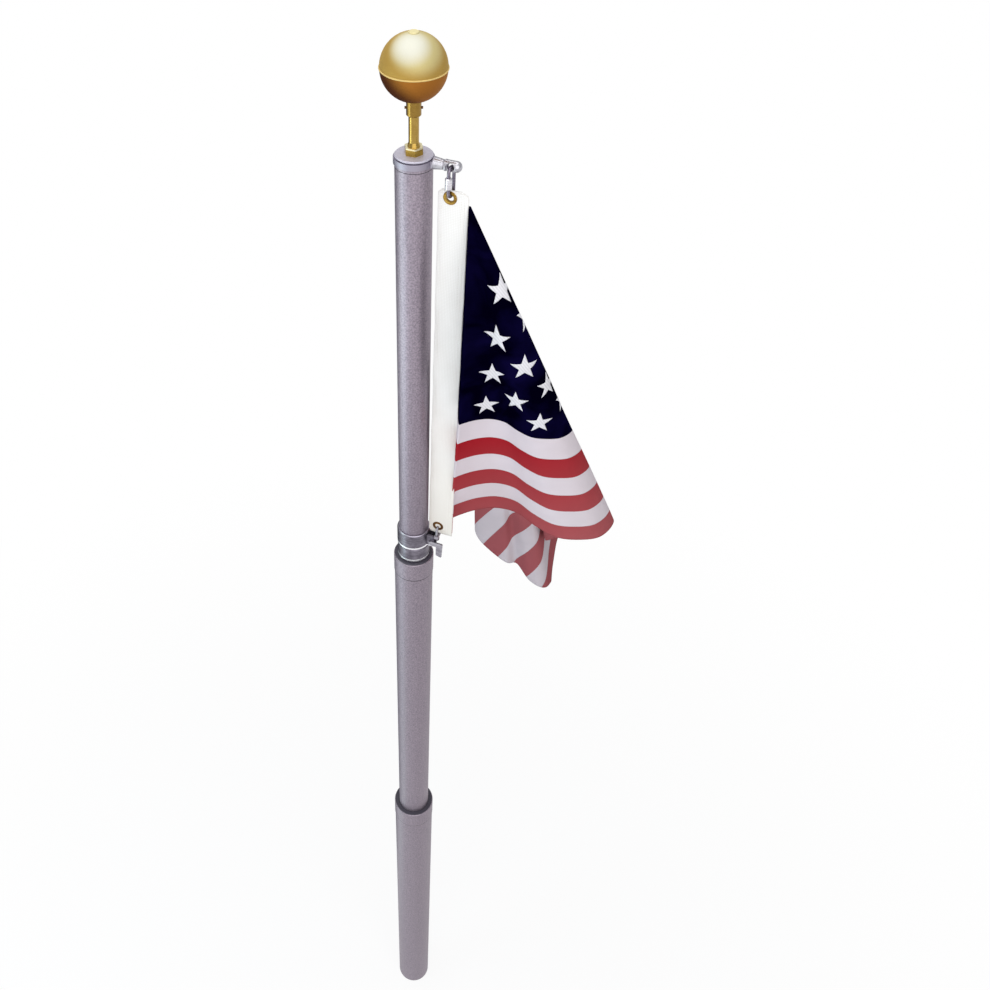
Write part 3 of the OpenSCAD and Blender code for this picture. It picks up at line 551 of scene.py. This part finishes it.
def star_field_tree():
    """Geometry nodes: a staggered grid of filled five-point stars, flat."""
    tree, given = node_group("star_field", [("Columns", "NodeSocketInt", STAR_COLUMNS),
                                            ("Rows", "NodeSocketInt", STAR_ROWS),
                                            ("Width", "NodeSocketFloat", CANTON_WIDTH),
                                            ("Height", "NodeSocketFloat", CANTON_HEIGHT),
                                            ("Star Size", "NodeSocketFloat", STAR_SIZE),
                                            ("Thread", "NodeSocketMaterial", None)])
    grid = add(tree, "GeometryNodeMeshGrid", {"Size X": given["Width"], "Size Y": given["Height"],
                                              "Vertices X": given["Columns"], "Vertices Y": given["Rows"]})
    spot = add(tree, "GeometryNodeInputIndex").outputs[0]
    odd = add(tree, "ShaderNodeMath", {0: spot, 1: 2.0}, operation="MODULO").outputs[0]
    centres = add(tree, "GeometryNodeDeleteGeometry", {"Geometry": grid.outputs["Mesh"], "Selection": odd})
    radius = add(tree, "ShaderNodeMath", {0: given["Star Size"], 1: 0.5}, operation="MULTIPLY").outputs[0]
    waist = add(tree, "ShaderNodeMath", {0: radius, 1: STAR_WAIST}, operation="MULTIPLY").outputs[0]
    star = add(tree, "GeometryNodeCurveStar", {"Points": 5, "Inner Radius": waist, "Outer Radius": radius})
    filled = add(tree, "GeometryNodeFillCurve", {"Curve": star.outputs[0]})
    fine = add(tree, "GeometryNodeSubdivideMesh", {"Mesh": filled.outputs[0], "Level": 2})
    placed = add(tree, "GeometryNodeInstanceOnPoints", {"Points": centres.outputs[0],
                                                        "Instance": fine.outputs[0],
                                                        "Rotation": (0, 0, STAR_TURN)})
    return end_group(tree, placed, given["Thread"])


def grown(name, tree, inputs):
    """The plain mesh that a geometry node tree makes with the given inputs."""
    piece = new_object(name, bpy.data.meshes.new(name))
    modifier = piece.modifiers.new("nodes", "NODES")
    modifier.node_group = tree
    for item in tree.interface.items_tree:
        if item.in_out == "INPUT" and item.name in inputs:
            modifier[item.identifier] = inputs[item.name]
    return baked(piece)


def flag_stars(cloth, thread):
    """Embroidered stars: grown flat, laid on the folds and thickened through the cloth."""
    column = (CANTON_WIDTH - STAR_INSET) / (STAR_COLUMNS + 1)
    row = CANTON_HEIGHT / (STAR_ROWS + 1)
    width = column * (STAR_COLUMNS - 1)
    height = row * (STAR_ROWS - 1)
    piece = grown("flag_stars", star_field_tree(), {"Width": width, "Height": height, "Thread": thread})
    flat = np.empty(3 * len(piece.data.vertices))
    piece.data.vertices.foreach_get("co", flat)
    flat = flat.reshape(-1, 3)
    out = STAR_INSET + column + width / 2 + flat[:, 0]
    drop = row + height / 2 - flat[:, 1]
    piece.data.vertices.foreach_set("co", cloth.at(out, drop).ravel())
    return thickened(piece, STAR_THICKNESS)


# Sewn header

def header_strip(box, holes, hole_r, material):
    """Folded canvas: rounded long edges, a soft sag between the grommets, and holes for the grommets."""
    low, high = box
    half = (high.y - low.y) / 2
    middle = (high.x + low.x) / 2
    reach = (high.x - low.x) / 2 - half
    levels = 140
    face = np.linspace(-1, 1, 10)
    fold = np.linspace(0, math.pi, 7)[1:-1]
    profile = [(middle + reach * s, half) for s in face]
    profile += [(middle + reach + half * math.sin(a), half * math.cos(a)) for a in fold]
    profile += [(middle - reach * s, -half) for s in face]
    profile += [(middle - reach - half * math.sin(a), -half * math.cos(a)) for a in fold]
    points = []
    for level in np.linspace(0, 1, levels):
        z = low.z + (high.z - low.z) * level
        calm = math.sin(math.pi * level)
        clip = max(0, z - high.z + HEADER_CLIP)
        foot_clip = max(0, low.z + HEADER_CLIP - z)
        for x, y in profile:
            across = (x - low.x) / (high.x - low.x)
            wave = sum(tall * math.sin(down * level + over * across) for tall, down, over in HEADER_WAVES)
            # The head is clipped at both corners, twice as far at the field, and the foot at the pole
            near = x + clip * (1 - 3 * across) + foot_clip * (1 - across) + HEADER_LEAN * (z - PIVOT_Z)
            points.append((near, y + calm * wave, z))
    count = len(profile)
    faces = [(i * count + k, i * count + (k + 1) % count, (i + 1) * count + (k + 1) % count,
              (i + 1) * count + k)
             for i in range(levels - 1) for k in range(count)]
    faces += [tuple(range(count))[::-1], tuple(range((levels - 1) * count, levels * count))]
    piece = mesh_object("header", points, faces, material)
    tool = bmesh.new()
    tool_sides = 40
    tool_length = 20 * MM
    for hole in holes:
        ring = bmesh.ops.create_cone(tool, cap_ends=True, segments=tool_sides, depth=tool_length,
                                     radius1=hole_r, radius2=hole_r)
        for vertex in ring["verts"]:
            vertex.co = Vector((hole.x + vertex.co.x, vertex.co.z, hole.z + vertex.co.y))
    bmesh.ops.recalc_face_normals(tool, faces=tool.faces)
    cutter_mesh = bpy.data.meshes.new("grommet_cutter")
    tool.to_mesh(cutter_mesh)
    tool.free()
    cutter = new_object("grommet_cutter", cutter_mesh)
    fix = bmesh.new()
    fix.from_mesh(piece.data)
    bmesh.ops.recalc_face_normals(fix, faces=fix.faces)
    fix.to_mesh(piece.data)
    fix.free()
    drill = piece.modifiers.new("holes", "BOOLEAN")
    drill.object = cutter
    drill.operation = "DIFFERENCE"
    drill.solver = "EXACT"
    smooth(baked(piece))
    bpy.data.objects.remove(cutter)
    return piece


def stitch_tree():
    """Geometry nodes: a row of lock stitches along Z."""
    tree, given = node_group("lock_stitches", [("Count", "NodeSocketInt", 100),
                                               ("Start", "NodeSocketVector", (0, 0, 0)),
                                               ("Pitch", "NodeSocketFloat", STITCH_PITCH),
                                               ("Stitch", "NodeSocketFloat", STITCH_LENGTH),
                                               ("Thread Radius", "NodeSocketFloat", THREAD_R),
                                               ("Thread", "NodeSocketMaterial", None)])
    pitch = add(tree, "ShaderNodeCombineXYZ", {2: given["Pitch"]}).outputs[0]
    line = add(tree, "GeometryNodeMeshLine", {"Count": given["Count"], "Start Location": given["Start"],
                                              "Offset": pitch})
    half = add(tree, "ShaderNodeMath", {0: given["Stitch"], 1: 0.5}, operation="MULTIPLY").outputs[0]
    bead = add(tree, "GeometryNodeMeshUVSphere", {"Segments": 6, "Rings": 4, "Radius": 1.0})
    size = add(tree, "ShaderNodeCombineXYZ",
               {0: given["Thread Radius"], 1: given["Thread Radius"], 2: half}).outputs[0]
    placed = add(tree, "GeometryNodeInstanceOnPoints", {"Points": line.outputs[0],
                                                        "Instance": bead.outputs[0],
                                                        "Scale": size})
    return end_group(tree, placed, given["Thread"])


def join(name, pieces):
    """One piece from several plain meshes."""
    joined = bmesh.new()
    for piece in pieces:
        joined.from_mesh(piece.data)
    mesh = bpy.data.meshes.new(name)
    joined.to_mesh(mesh)
    joined.free()
    for material in pieces[0].data.materials:
        mesh.materials.append(material)
    for piece in pieces:
        bpy.data.objects.remove(piece)
    return new_object(name, mesh)


def header_stitches(box, thread):
    """Three rows of stitches on each face of the header: one by the pole, two by the field."""
    low, high = box
    tree = stitch_tree()
    count = int((high.z - low.z - 2 * STITCH_END) / STITCH_PITCH)
    field_row = high.x - STITCH_INSET
    rows = []
    for x in (low.x + STITCH_INSET, field_row, field_row - STITCH_ROW_GAP):
        for y in (low.y - STITCH_PROUD, high.y + STITCH_PROUD):
            start = (x, y, low.z + STITCH_END)
            inputs = {"Count": count, "Start": start, "Pitch": STITCH_PITCH, "Thread": thread}
            rows.append(grown("stitch_row", tree, inputs))
    whole = smooth(join("header_stitches", rows))
    for vertex in whole.data.vertices:
        vertex.co.x += HEADER_LEAN * (vertex.co.z - PIVOT_Z)
    return whole


# Build

def dress(nodes, material):
    """Give CAD nodes a finish."""
    for node in nodes:
        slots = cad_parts[node].data.materials
        slots.clear()
        slots.append(material)


# Dark joint lines at the collars' feet, and under the top ring a dark joint line with painted shadow
joint_half = 1.2 * MM
ring_line = 0.7 * MM
feet = [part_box(node)[0].z for node in ("lower_collar", "middle_collar")]
ring_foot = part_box("top_swivel_ring")[0].z
joints = [(z - joint_half, z + joint_half) for z in feet]
ring_joint_shadow = [(ring_foot - ring_line, ring_foot)]

# Painted highlights, each from a height to a height: two on the bands, a band's rim and the nut's rim
band_foot, band_top = (corner.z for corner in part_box("lower_swivel_band"))
stop_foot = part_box("stop_collar")[0].z
nut_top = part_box("finial_nut")[1].z
band_highlights = [(band_foot + 1.8 * MM, band_foot + 5.4 * MM, "#f1eff4"),
          (stop_foot + 1.8 * MM, stop_foot + 6.2 * MM, "#f1eff4"),
          (band_top - 1.0 * MM, band_top + 0.2 * MM, "#aaa4b2")]
nut_rim_highlight = [(nut_top - 1.8 * MM, nut_top + 0.2 * MM, "#fff4c8")]

# Painted shade: the upper tube is darker towards its foot, over three quarters of its length
upper_foot, upper_head = (corner.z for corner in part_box("upper_tube"))
upper_shade_span = (upper_foot, upper_foot + 0.75 * (upper_head - upper_foot))

upper = anodised_aluminium("anodised_upper_tube", "#a99da9", "#857b87", 0.75, ring_joint_shadow, upper_shade_span)
tubes = anodised_aluminium("anodised_tube", "#a0949f", "#7d7480", 0.75, joints)
collars = anodised_aluminium("anodised_collar", "#a0949f", "#7d7480", 0.75, joints)
cap = anodised_aluminium("anodised_cap", "#ccc9d7", "#bfbbca", 0.45, ())
bands = turned_metal("turned_band", "#86808c", "#534e59", 0.34, band_highlights)
brass = turned_metal("turned_brass", "#b5964f", "#9f803d", 0.2, feed=FINE_FEED)
nut_brass = turned_metal("bright_brass", "#c8a850", "#ab8c3c", 0.26, nut_rim_highlight, FINE_FEED)
neck_brass = turned_metal("dull_brass", "#9d7c3c", "#886a2e", 0.26, feed=FINE_FEED)
screw_brass = turned_metal("aged_brass", "#7a5630", "#4a3018", 0.4)
zinc = turned_metal("zinc_plated_steel", "#b9b5bd", "#7e7a85", 0.26)
wire_steel = turned_metal("dull_plated_steel", "#8f8794", "#5f5867", 0.3)
sleeve_steel = turned_metal("bright_plated_steel", "#f0eef2", "#c8c5cc", 0.24)
grommet_brass = turned_metal("stamped_brass", "#b08c40", "#785a24", 0.3)
old_brass = turned_metal("tarnished_brass", "#74502a", "#3e2612", 0.38)
# Painted highlight on the ball's crown: a broad pale zone and a paler spot
ball_highlights = [(BALL_SOFT_HIGHLIGHT, "#cdc08a"), (BALL_HIGHLIGHT, "#d8d7cb")]
# Painted shade on the ball's lower half: its darker gold, darker still at its foot and on one lower side
ball_shades = [(BALL_FOOT, "#aa7231"), (BALL_SHADE, "#502812")]
ball_top = gold_ball_finish("gold_anodised_top", "#b6964c", 0.75, ball_highlights)
ball_foot = gold_ball_finish("gold_anodised_foot", "#925a24", 1.0, ball_shades)
button = gold_ball_finish("gold_anodised_button", "#e0d6a8", 0.6)
bead = gold_ball_finish("gold_anodised_bead", "#dfc581", 0.6)
ring_r = -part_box("top_swivel_ring")[0].x
casting = polished_casting(ring_r, ring_r + 4 * MM, ring_foot)

dress(["lower_tube", "middle_tube"], tubes)
dress(["upper_tube"], upper)
dress(["lower_collar", "middle_collar"], collars)
dress(["lower_bushing", "middle_bushing", "base_plug"], moulded_acetal())
dress(["stop_collar", "lower_swivel_band"], bands)
dress(["cap_plug", "cap_disc"], cap)
dress(["finial_stem"], brass)
dress(["finial_nut"], nut_brass)
dress(["ball_neck"], neck_brass)
dress(["neck_screws"], screw_brass)
dress(["ball_upper_half"], ball_top)
dress(["ball_lower_half"], ball_foot)
dress(["ball_seam_bead"], bead)
dress(["ball_top_button"], button)
dress(["top_swivel_ring"], casting)
dress(["thumb_screw", "snap_body", "snap_hook", "snap_gate"], zinc)
dress(["top_link"], wire_steel)
dress(["top_link_sleeve"], sleeve_steel)
dress(["upper_grommet"], grommet_brass)
dress(["lower_grommet"], old_brass)

grommets = [(low + high) / 2 for low, high in (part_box("upper_grommet"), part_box("lower_grommet"))]
cloth = Cloth((HEADER[1].x + HEADER_SEAT, 0.0, HEADER[1].z - CORNER_DROP))
flag = flag_sheet(cloth, flag_nylon())
stars = flag_stars(cloth, star_thread())
header = header_strip(HEADER, grommets, HEADER_HOLE_R, header_canvas())
stitches = header_stitches(HEADER, sewing_thread())

for piece in (flag, stars, header, stitches):
    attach(piece, "top_swivel")
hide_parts("flag_field")
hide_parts("flag_header")


# Stage, light and camera

def white_floor():
    """A pale matt floor that the camera and reflections see as white, with the shadow kept."""
    material, tree = blank("studio_floor")
    path = add(tree, "ShaderNodeLightPath").outputs
    seen = add(tree, "ShaderNodeMath", {0: path["Is Camera Ray"], 1: path["Is Glossy Ray"]},
               operation="MAXIMUM").outputs[0]
    seen = add(tree, "ShaderNodeMath", {0: seen, 1: path["Is Transmission Ray"]},
               operation="MAXIMUM").outputs[0]
    # Near the pole about an eighth of the floor is matt and takes the shadow; far off it is plain white
    place = add(tree, "ShaderNodeTexCoord").outputs["Object"]
    away = add(tree, "ShaderNodeVectorMath", {0: place}, operation="LENGTH").outputs["Value"]
    white = add(tree, "ShaderNodeMapRange",
                {"Value": away, "From Min": 0.3, "From Max": 2.4, "To Min": 0.88},
                interpolation_type="SMOOTHSTEP").outputs[0]
    share = add(tree, "ShaderNodeMath", {0: seen, 1: white}, operation="MULTIPLY").outputs[0]
    matt = add(tree, "ShaderNodeBsdfDiffuse", {"Color": linear("#f4f4f6")}).outputs[0]
    glow = add(tree, "ShaderNodeEmission", {"Strength": 1.0}).outputs[0]
    mixed = add(tree, "ShaderNodeMixShader", {0: share, 1: matt, 2: glow}).outputs[0]
    add(tree, "ShaderNodeOutputMaterial", {"Surface": mixed})
    half = 30.0
    floor = mesh_object("floor", [(-half, -half, 0), (half, -half, 0), (half, half, 0), (-half, half, 0)],
                        [(0, 1, 2, 3)], material)


def reflected_card(name, ends, heights, kind, inputs):
    """An upright card that only reflections see: it draws a dark edge or a highlight on the metal."""
    material, tree = blank(name)
    surface = add(tree, kind, inputs).outputs[0]
    add(tree, "ShaderNodeOutputMaterial", {"Surface": surface})
    points = [beside_camera(right, towards, z) for z in heights for right, towards in ends]
    card = mesh_object(name, points, [(0, 1, 3, 2)], material)
    card.visible_camera = False
    card.visible_diffuse = False
    card.visible_shadow = False


def lamp(name, place, aim, size, power, colour):
    """A soft rectangular lamp that faces a point."""
    light = bpy.data.lights.new(name, "AREA")
    light.shape = "RECTANGLE"
    light.size, light.size_y = size
    light.energy = power
    light.color = linear(colour)[:3]
    holder = new_object(name, light)
    holder.location = place
    holder.rotation_euler = (Vector(aim) - Vector(place)).to_track_quat("-Z", "Y").to_euler()


def beside_camera(right, towards, z):
    """A place given from the camera's side: to its right, towards it from the pole, and up."""
    cos, sin = math.cos(CAMERA_AZIMUTH), math.sin(CAMERA_AZIMUTH)
    return (right * cos + towards * sin, right * sin - towards * cos, z)


def studio():
    """A white sky, brighter to the camera than to the object, and three soft lamps."""
    world = bpy.data.worlds.new("studio")
    world.use_nodes = True
    tree = world.node_tree
    tree.nodes.clear()
    path = add(tree, "ShaderNodeLightPath").outputs
    mirrored = add(tree, "ShaderNodeMapRange",
                   {"Value": path["Is Glossy Ray"], "To Min": SKY_MATT, "To Max": SKY_MIRRORED}).outputs[0]
    strength = add(tree, "ShaderNodeMapRange",
                   {"Value": path["Is Camera Ray"], "To Min": mirrored, "To Max": SKY_SEEN}).outputs[0]
    sky = add(tree, "ShaderNodeBackground", {"Color": linear("#ffffff"), "Strength": strength}).outputs[0]
    add(tree, "ShaderNodeOutputWorld", {"Surface": sky})
    bpy.context.scene.world = world
    aim = (0.05, 0.0, 1.9)
    lamp("key", beside_camera(-2.15, 0.75, 0.9), aim, (0.9, 1.6), 21, "#d6ebf5")
    lamp("front", beside_camera(0.5, 4.0, 3.8), aim, (6.0, 5.0), 152, "#ffffff")
    lamp("top", beside_camera(-0.5, -0.3, 5.0), aim, (3.2, 3.2), 59, "#ffffff")


def photograph_camera():
    """The camera at the photograph's place, shifted so that the pole stands left of the middle."""
    data = bpy.data.cameras.new("camera")
    data.sensor_width = SENSOR_MM
    data.lens = SENSOR_MM * FOCAL_PX / IMAGE_PX
    data.shift_x = (IMAGE_PX / 2 - AXIS_PX) / IMAGE_PX
    camera = new_object("camera", data)
    camera.location = beside_camera(0, CAMERA_DISTANCE, CAMERA_HEIGHT)
    camera.rotation_euler = (math.pi / 2 - CAMERA_PITCH, 0, CAMERA_AZIMUTH)
    bpy.context.scene.camera = camera


white_floor()
reflected_card("dark_card", DARK_CARD, (CARD_FOOT, CARD_HEAD), "ShaderNodeBsdfDiffuse",
               {"Color": linear("#5c6268")})
for name, heights, strength in (("low_bright_card", (CARD_FOOT, CARD_STEP), 2.2),
                                ("high_bright_card", (CARD_STEP, CARD_HEAD), 4.8)):
    reflected_card(name, BRIGHT_CARD, heights, "ShaderNodeEmission",
                   {"Color": linear("#dff8ee"), "Strength": strength})
studio()
photograph_camera()
bpy.context.scene.view_settings.view_transform = "Standard"
